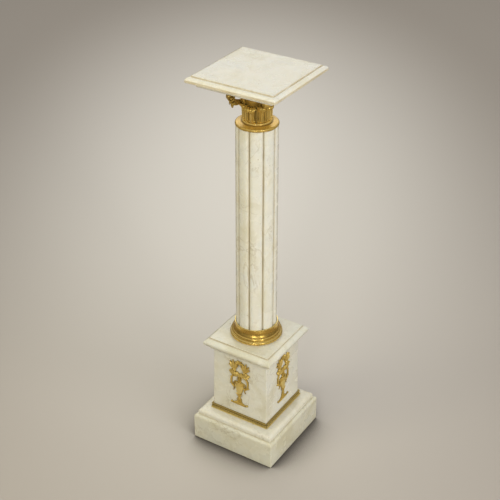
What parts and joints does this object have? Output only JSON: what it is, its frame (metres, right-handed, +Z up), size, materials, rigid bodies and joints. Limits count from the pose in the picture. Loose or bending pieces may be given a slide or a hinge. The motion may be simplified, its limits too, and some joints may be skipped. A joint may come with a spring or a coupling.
{
  "type": "column pedestal",
  "caption": "Square marble pedestal with a lobed column shaft, turned brass rings, a leafy brass capital and urn appliques on its base, carrying a square top.",
  "frame": {"origin": "centre of the foot, on the floor", "axes": "+Z up the column, -Y the front face of the base, +X its right face"},
  "size_m": [0.2554, 0.2554, 1.1],
  "materials": {
    "marble": "polished",
    "polished_brass": "polished",
    "gilt_brass": "satin"
  },
  "bodies": {
    "root": {"plinth": "marble", "base_moulding": "marble", "die": "marble", "band_front": "gilt_brass", "band_right": "gilt_brass", "band_back": "gilt_brass", "band_left": "gilt_brass", "urn_mount_front": "gilt_brass", "urn_mount_right": "gilt_brass", "urn_mount_back": "gilt_brass", "urn_mount_left": "gilt_brass", "die_cap": "marble", "base_ring": "polished_brass", "shaft": "marble", "necking_ring": "polished_brass", "capital": "polished_brass", "under_slab": "marble", "top_slab": "marble"}
  },
  "joints": []
}
